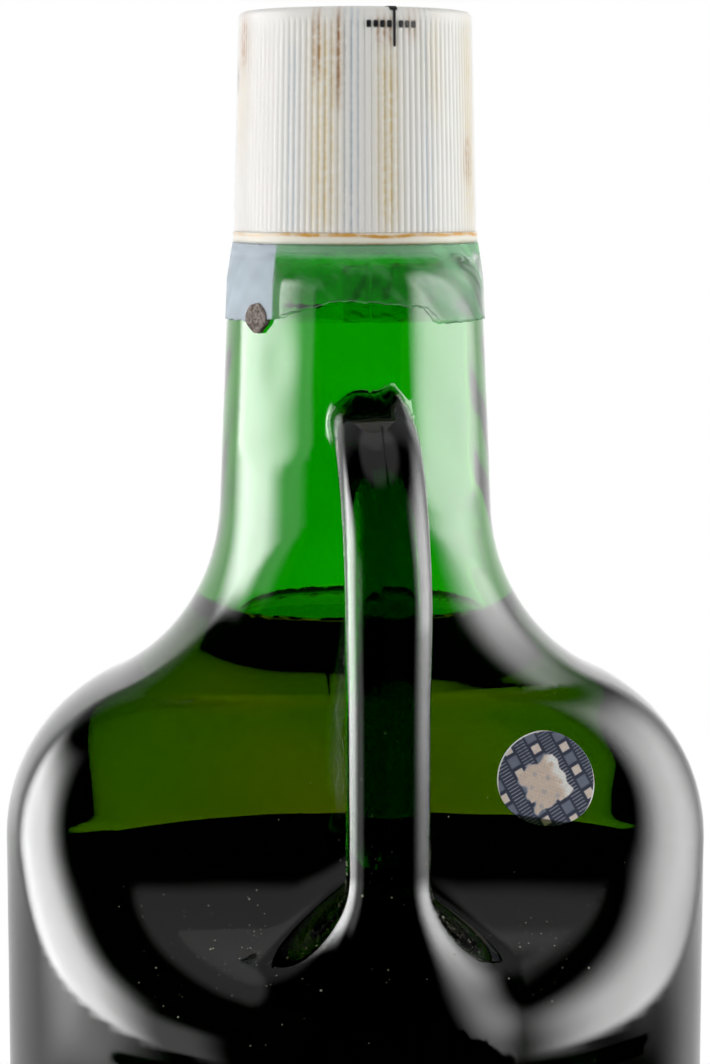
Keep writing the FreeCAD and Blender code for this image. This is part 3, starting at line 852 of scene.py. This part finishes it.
def stuck(x, v, z, lift):
    """Points on the outer glass near the given ones, moved out along the surface's normal."""
    points = settle(outer_glass, np.stack([x, v, z], axis=-1).reshape(-1, 3))
    normal = slope_of(outer_glass, points, 0.8)
    points = points + lift * normal / np.linalg.norm(normal, axis=1)[:, None]
    return (points * np.array([1, -1, 1])).reshape(*x.shape, 3)


def sheet(name, across, up, place, rows, columns, power, thickness, **masks):
    """A thin sheet stuck to the glass: a rounded shape of the given half sizes, laid in
    rings; `place` turns a distance across and a height into x, v and z."""
    turn = np.linspace(0, 2 * math.pi, columns, endpoint=False)
    reach = 1 / (np.abs(np.cos(turn)) ** power + np.abs(np.sin(turn)) ** power) ** (1 / power)
    share = np.linspace(0.02, 1, rows)[:, None] * reach
    x, v, z = place(across * share * np.cos(turn), up * share * np.sin(turn))
    front, back = stuck(x, v, z, thickness), stuck(x, v, z, -PASTE)
    return rings(name, np.concatenate([front, back[::-1]]), False, **masks)


def label_place(across, up):
    """A place on the body's far side."""
    angle = across / BODY_RADIUS
    return -BODY_RADIUS * np.sin(angle), -BODY_RADIUS * np.cos(angle), (LABEL_TOP + LABEL_BOTTOM) / 2 + up


def bare_paper():
    """Uncoated near-black paper: matt, with a fine fibre in its colour and its surface."""
    material, tree, paper, out = finish("uncoated_dark_paper")
    place = add(tree, "ShaderNodeTexCoord").outputs["Object"]
    fibre = add(tree, "ShaderNodeTexNoise", {"Vector": place, "Scale": FIBRES_PER_MM / MM, "Detail": 4.0})
    fibre = fibre.outputs["Fac"]
    tone = add(
        tree, "ShaderNodeMix", {"Factor": fibre, 6: srgb("#1f1e1c"), 7: srgb("#2c2b28")}, data_type="RGBA"
    )
    relief = add(tree, "ShaderNodeBump", {"Height": fibre, "Strength": 0.25, "Distance": 0.0001})
    tree.links.new(tone.outputs[2], paper.inputs["Base Color"])
    tree.links.new(relief.outputs[0], paper.inputs["Normal"])
    paper.inputs["Roughness"].default_value = 0.85
    paper.inputs["Specular IOR Level"].default_value = 0.3
    return material


half_width = math.radians(LABEL_DEG / 2) * BODY_RADIUS
half_height = (LABEL_TOP - LABEL_BOTTOM) / 2
label = sheet(
    "bare_paper_label", half_width, half_height, label_place, 40, 360, 24, LABEL_THICKNESS - PASTE
)
label.data.materials.append(bare_paper())
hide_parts("label")


# ------------------------------------------------------------------------------- seal
# A round paper seal on the wall of the scoop, with a plain pale field in the middle of a
# printed basket weave in navy and slate.  A cut white edge shows round it.

SEAL_RADIUS = 8.5
SEAL_ACROSS = 29.8
SEAL_HEIGHT = SCOOP_RIM + 27.9
WEAVE = 2.2
WEAVE_TILT = math.radians(28)
GRAINS_PER_MM = 1.5


def seal_place(across, up):
    """A place on the scoop's wall."""
    return SEAL_ACROSS + across, np.full_like(across, SCOOP_WALL), SEAL_HEIGHT + up


def print_tone(x, v, z):
    """The print as one tone: 0 navy, 0.35 slate, 0.6 grey, 0.8 beige, 1 white."""
    across, up = x - SEAL_ACROSS, z - SEAL_HEIGHT
    one = across * math.cos(WEAVE_TILT) + up * math.sin(WEAVE_TILT)
    two = up * math.cos(WEAVE_TILT) - across * math.sin(WEAVE_TILT)
    column, row = np.floor(one / WEAVE), np.floor(two / WEAVE)
    a, b = one / WEAVE - column - 0.5, two / WEAVE - row - 0.5
    box = np.maximum(np.abs(a), np.abs(b))
    kind = (column + 2 * row) % 4
    lines = ramp(np.cos(b * 8 * math.pi), 0.2, 0.9) * ramp(np.abs(a), 0.46, 0.4)
    tone = np.select(
        [kind == 0, kind == 2], [0.85 * ramp(box, 0.36, 0.3), 0.38 * ramp(box, 0.44, 0.36)], 0.55 * lines
    )
    wander = 0.3 * np.sin(1.9 * one + 1) + 0.25 * np.sin(2.3 * two)
    middle = ramp(np.maximum(np.abs(one + 0.2), np.abs(two)) + wander, 3.9, 3.5)
    lace = 0.78 + 0.2 * ramp(one + 0.2 * np.sin(3 * two), 1.0, 2.8) + 0.04 * np.sin(9 * one) * np.sin(8 * two)
    spots = 0.12 * ramp(np.sin(1.9 * one + 0.6) * np.sin(1.9 * two + 1), 0.55, 0.9)
    tone = tone + (lace - spots - tone) * middle
    rim = ramp(np.hypot(across, up), SEAL_RADIUS - 0.28, SEAL_RADIUS - 0.16)
    return np.maximum(tone, rim)


def seal_paper():
    """Smooth coated paper, printed: the tone runs from navy ink to the bare white edge."""
    material, tree, paper, out = finish("printed_seal_paper")
    tone = add(tree, "ShaderNodeAttribute", attribute_name="tone").outputs["Fac"]
    ink_scale = add(tree, "ShaderNodeValToRGB", {"Fac": tone})
    stops = ((0.0, "#272e3f"), (0.35, "#5d6577"), (0.6, "#9a9ba2"), (0.8, "#c9b5a4"), (1.0, "#dfe2e0"))
    scale = ink_scale.color_ramp
    for place, code in stops[1:-1]:
        scale.elements.new(place)
    for element, (place, code) in zip(scale.elements, stops):
        element.position = place
        element.color = srgb(code)
    spread = add(tree, "ShaderNodeTexCoord").outputs["Object"]
    grain = add(tree, "ShaderNodeTexNoise", {"Vector": spread, "Scale": GRAINS_PER_MM / MM, "Detail": 2.0})
    shade = add(tree, "ShaderNodeMapRange", {"Value": grain.outputs["Fac"], "To Min": 0.8, "To Max": 1.15})
    colour = add(tree, "ShaderNodeVectorMath", {0: ink_scale, "Scale": shade}, operation="SCALE")
    tree.links.new(colour.outputs[0], paper.inputs["Base Color"])
    paper.inputs["Roughness"].default_value = 0.5
    return material


seal = sheet("round_seal", SEAL_RADIUS, SEAL_RADIUS, seal_place, 62, 360, 2, 0.08, tone=print_tone)
seal.data.materials.append(seal_paper())
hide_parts("seal")


# ------------------------------------------------------------------------------- dirt
# Storage has left its marks: a brown flake of dried glue on the neck film, and fine pale
# dust that has settled in the scoop and on the handle's foot.

FLAKE_TURN = math.radians(-53.5)
FLAKE_HEIGHT = FILM_END + 1.5
FLAKE_WIDTH = 4.7
FLAKE_LENGTH = 4.6
FLAKE_THICKNESS = 1.1
DUST_SPECKS = 420
POCKETS = (-20, 18)


def flake_place(across, up):
    """A place on the neck, with a ragged outline."""
    turn = FLAKE_TURN + across / NECK_RADIUS
    ragged = 1 + 0.1 * np.sin(1.3 * across + 2) + 0.08 * np.sin(2.6 * up + 1.9 * across)
    return NECK_RADIUS * np.sin(turn), NECK_RADIUS * np.cos(turn), FLAKE_HEIGHT + up * ragged


def mottled(name, dark, pale, per_mm, roughness):
    """A dull, crumbly surface: two colours mixed by a fine noise, by its grains per mm."""
    material, tree, surface, out = finish(name)
    place = add(tree, "ShaderNodeTexCoord").outputs["Object"]
    grain = add(tree, "ShaderNodeTexNoise", {"Vector": place, "Scale": per_mm / MM, "Detail": 4.0})
    share = add(
        tree, "ShaderNodeMapRange", {"Value": grain.outputs["Fac"], "From Min": 0.35, "From Max": 0.65}
    )
    colour = add(tree, "ShaderNodeMix", {"Factor": share, 6: srgb(dark), 7: srgb(pale)}, data_type="RGBA")
    tree.links.new(colour.outputs[2], surface.inputs["Base Color"])
    surface.inputs["Roughness"].default_value = roughness
    return material


flake = sheet(
    "glue_flake", FLAKE_WIDTH / 2, FLAKE_LENGTH / 2, flake_place, 12, 90, 2.0, FLAKE_THICKNESS
)
flake.data.materials.append(mottled("dried_glue", "#40342f", "#8f857e", 1.8, 0.8))

# Six specks in ten lie in the hollows beside the handle's foot, the others anywhere in the
# scoop; each is a tiny five-sided pyramid on the glass.
chance = np.random.default_rng(7)
count = DUST_SPECKS
pocket = chance.uniform(0, 1, count) < 0.6
near_x = chance.choice(POCKETS, count) + chance.normal(0, 6, count)
speck_x = np.where(pocket, near_x, chance.uniform(-50, 50, count))
speck_z = np.where(pocket, chance.normal(184, 4, count), chance.triangular(150, 182, 224, count))
speck_v = np.where(pocket, chance.normal(49, 3, count), 56.0)
speck_at = settle(outer_glass, np.stack([speck_x, speck_v, speck_z], axis=-1), 30)
speck_out = slope_of(outer_glass, speck_at)
speck_out /= np.linalg.norm(speck_out, axis=1)[:, None]
speck_side = np.cross(speck_out, chance.normal(size=(count, 3)))
speck_side /= np.linalg.norm(speck_side, axis=1)[:, None]
speck_size = chance.exponential(0.035, (count, 1)) + 0.045
speck_corners = []
for turn in np.arange(5) * 2 * math.pi / 5:
    arm = speck_side * math.cos(turn) + np.cross(speck_out, speck_side) * math.sin(turn)
    speck_corners.append(speck_at + arm * speck_size * chance.uniform(0.6, 1.3, (count, 1)))
speck_corners.append(speck_at + speck_out * speck_size * 0.7)
speck_points = np.stack(speck_corners, axis=1).reshape(-1, 3) * np.array([1, -1, 1])
speck_faces = [[6 * n + k, 6 * n + 5, 6 * n + (k + 1) % 5] for n in range(count) for k in range(5)]
dust = piece("settled_dust", speck_points, speck_faces)
dust.data.materials.append(mottled("pale_dust", "#6f6c5e", "#bdb8a6", 0.9, 0.9))


# ------------------------------------------------------------------------------- studio
# A pale sweep, a white background and two tall soft lights at the sides.  The room on
# the camera's side is dark, as a studio is, and shows only in the glass's reflections.


def studio_world():
    """White for the camera; a dark room with two tall softboxes for what glass shows."""
    world = bpy.data.worlds.new("studio")
    bpy.context.scene.world = world
    world.use_nodes = True
    tree = world.node_tree
    tree.nodes.clear()

    # Each direction as degrees round the room from the front, and degrees above the horizon.
    path = add(tree, "ShaderNodeLightPath").outputs
    spread = add(tree, "ShaderNodeTexCoord").outputs["Generated"]
    way = add(tree, "ShaderNodeSeparateXYZ", {0: spread}).outputs
    toward = add(tree, "ShaderNodeMath", {0: way["Y"], 1: -1.0}, operation="MULTIPLY")
    turn = add(tree, "ShaderNodeMath", {0: way["X"], 1: toward}, operation="ARCTAN2")
    turn = add(tree, "ShaderNodeMath", {0: turn}, operation="DEGREES")
    height = add(tree, "ShaderNodeMath", {0: way["Z"], 1: 0.9999}, operation="MINIMUM")
    rise = add(tree, "ShaderNodeMath", {0: height}, operation="ARCSINE")
    rise = add(tree, "ShaderNodeMath", {0: rise}, operation="DEGREES")

    def window(angle, start, end, soft_start, soft_end):
        """1 between two angles, falling off softly before and after them."""
        on = add(
            tree, "ShaderNodeMapRange",
            {"Value": angle, "From Min": start - soft_start, "From Max": start},
            interpolation_type="SMOOTHSTEP",
        )
        off = add(
            tree, "ShaderNodeMapRange",
            {"Value": angle, "From Min": end, "From Max": end + soft_end, "To Min": 1.0, "To Max": 0.0},
            interpolation_type="SMOOTHSTEP",
        )
        return add(tree, "ShaderNodeMath", {0: on, 1: off}, operation="MULTIPLY")

    def softbox(sideways, upright, brightness):
        """A soft-edged upright light, from its windows round the room and above the horizon."""
        across, up = window(turn, *sideways), window(rise, *upright)
        shape = add(tree, "ShaderNodeMath", {0: across, 1: up}, operation="MULTIPLY")
        return add(tree, "ShaderNodeMath", {0: shape, 1: brightness}, operation="MULTIPLY")

    left = softbox((-108, -94, 26, 28), (-9, 16, 11, 18), 13.0)
    left_glow = softbox((-85, -58, 10, 14), (-12, 12, 6, 14), 1.2)
    right = softbox((78, 88, 34, 46), (-4, 18, 15, 34), 9.0)
    boxes = add(tree, "ShaderNodeMath", {0: left, 1: left_glow}, operation="ADD")
    boxes = add(tree, "ShaderNodeMath", {0: boxes, 1: right}, operation="ADD")

    # The white sweep behind, the dim wall above it, and a glimmer of ceiling overhead.
    front = window(turn, -105, 105, 30, 30)
    behind = add(tree, "ShaderNodeMath", {0: 1.0, 1: front}, operation="SUBTRACT")
    low = window(rise, -90, 22, 1, 16)
    sweep = add(tree, "ShaderNodeMath", {0: behind, 1: low}, operation="MULTIPLY")
    overhead = window(rise, 72, 95, 10, 1)
    ceiling = add(tree, "ShaderNodeMath", {0: overhead, 1: 0.45}, operation="MULTIPLY")
    back_wall = add(tree, "ShaderNodeMath", {0: behind, 1: 0.25}, operation="MULTIPLY")
    room_light = add(tree, "ShaderNodeMath", {0: sweep, 1: ceiling}, operation="ADD")
    room_light = add(tree, "ShaderNodeMath", {0: room_light, 1: back_wall}, operation="ADD")

    # Mirrored light: the room, dimmer below the horizon, and the boxes at full strength.
    horizon = add(tree, "ShaderNodeMapRange", {"Value": window(rise, -6, 95, 10, 1), "To Min": 0.55})
    mirrored = add(tree, "ShaderNodeMath", {0: room_light, 1: horizon}, operation="MULTIPLY")
    mirrored = add(tree, "ShaderNodeMath", {0: mirrored, 1: boxes}, operation="ADD")

    # Light through the glass: the boxes are held back, the more so once it has crossed both
    # walls, and a dark corner still passes a little.
    deep = add(tree, "ShaderNodeMath", {0: path["Transmission Depth"], 1: 2.5}, operation="GREATER_THAN")
    most = add(tree, "ShaderNodeMix", {"Factor": deep, 2: 2.0, 3: 0.8})
    through = add(tree, "ShaderNodeMath", {0: boxes, 1: most}, operation="MINIMUM")
    through = add(tree, "ShaderNodeMath", {0: room_light, 1: through}, operation="MAXIMUM")
    through = add(tree, "ShaderNodeMath", {0: through, 1: 0.2}, operation="MAXIMUM")

    lit = add(tree, "ShaderNodeMix", {"Factor": path["Is Glossy Ray"], 2: 0.5, 3: mirrored})
    lit = add(tree, "ShaderNodeMix", {"Factor": path["Is Transmission Ray"], 2: lit, 3: through})
    lit = add(tree, "ShaderNodeMix", {"Factor": path["Is Camera Ray"], 2: lit, 3: 1.0})
    sky = add(tree, "ShaderNodeBackground", {"Color": srgb("#ffffff"), "Strength": lit})
    add(tree, "ShaderNodeOutputWorld", {"Surface": sky})


studio_world()

FLOOR_RADIUS = 0.42
floor_turn = np.linspace(0, 2 * math.pi, 97)[:-1]
floor_rim = [(FLOOR_RADIUS * math.cos(a), FLOOR_RADIUS * math.sin(a), 0) for a in floor_turn]
floor_mesh = bpy.data.meshes.new("floor")
floor_mesh.from_pydata(floor_rim, [], [range(len(floor_rim))])
floor = bpy.data.objects.new("floor", floor_mesh)
bpy.context.scene.collection.objects.link(floor)


def pale_sweep():
    """Matt white paper.  It takes the bottle's shadow, and away from it reads as white."""
    material, tree, paper, out = finish("matt_white_sweep")
    paper.inputs["Base Color"].default_value = srgb("#e8e8e6")
    paper.inputs["Roughness"].default_value = 0.9
    path = add(tree, "ShaderNodeLightPath").outputs
    direct = add(
        tree, "ShaderNodeMath", {0: path["Is Camera Ray"], 1: path["Is Glossy Ray"]}, operation="ADD"
    )
    direct = add(
        tree, "ShaderNodeMath", {0: direct, 1: path["Is Transmission Ray"]},
        operation="ADD", use_clamp=True,
    )
    place = add(tree, "ShaderNodeNewGeometry").outputs["Position"]
    far = add(tree, "ShaderNodeVectorMath", {0: place}, operation="LENGTH").outputs["Value"]
    fade = add(
        tree, "ShaderNodeMapRange", {"Value": far, "From Min": 0.08, "From Max": 0.34},
        interpolation_type="SMOOTHSTEP",
    )
    share = add(tree, "ShaderNodeMath", {0: direct, 1: fade}, operation="MULTIPLY")
    white = add(tree, "ShaderNodeEmission", {"Color": srgb("#ffffff"), "Strength": 1.0})
    mixed = add(tree, "ShaderNodeMixShader", {0: share, 1: paper, 2: white})
    tree.links.new(mixed.outputs[0], out.inputs["Surface"])
    return material


floor.data.materials.append(pale_sweep())


def side_light(name, across, forward, power, width):
    """A tall soft light beside the bottle, which reflections don't see."""
    lamp = bpy.data.lights.new(name, "AREA")
    lamp.shape = "RECTANGLE"
    lamp.size = width
    lamp.size_y = 1.0
    lamp.energy = power
    holder = bpy.data.objects.new(name, lamp)
    holder.location = (across, -forward, 0.45)
    holder.rotation_euler = (math.radians(82), 0, math.atan2(across, forward))
    holder.visible_glossy = False
    holder.visible_transmission = False
    holder.visible_camera = False
    bpy.context.scene.collection.objects.link(holder)


side_light("soft_light_left", -0.9, 0.25, 5.2, 0.5)
side_light("soft_light_right", 0.9, 0.25, 5.2, 0.5)

camera = bpy.data.objects.new("camera", bpy.data.cameras.new("camera"))
camera.data.lens = 93.7
camera.data.sensor_width = 36
camera.location = (-0.0511, -0.4779, 0.2966)
camera.rotation_euler = (math.radians(90 - 7.3), 0, -math.radians(6.1))
bpy.context.scene.collection.objects.link(camera)
bpy.context.scene.camera = camera
bpy.context.scene.view_settings.view_transform = "Standard"
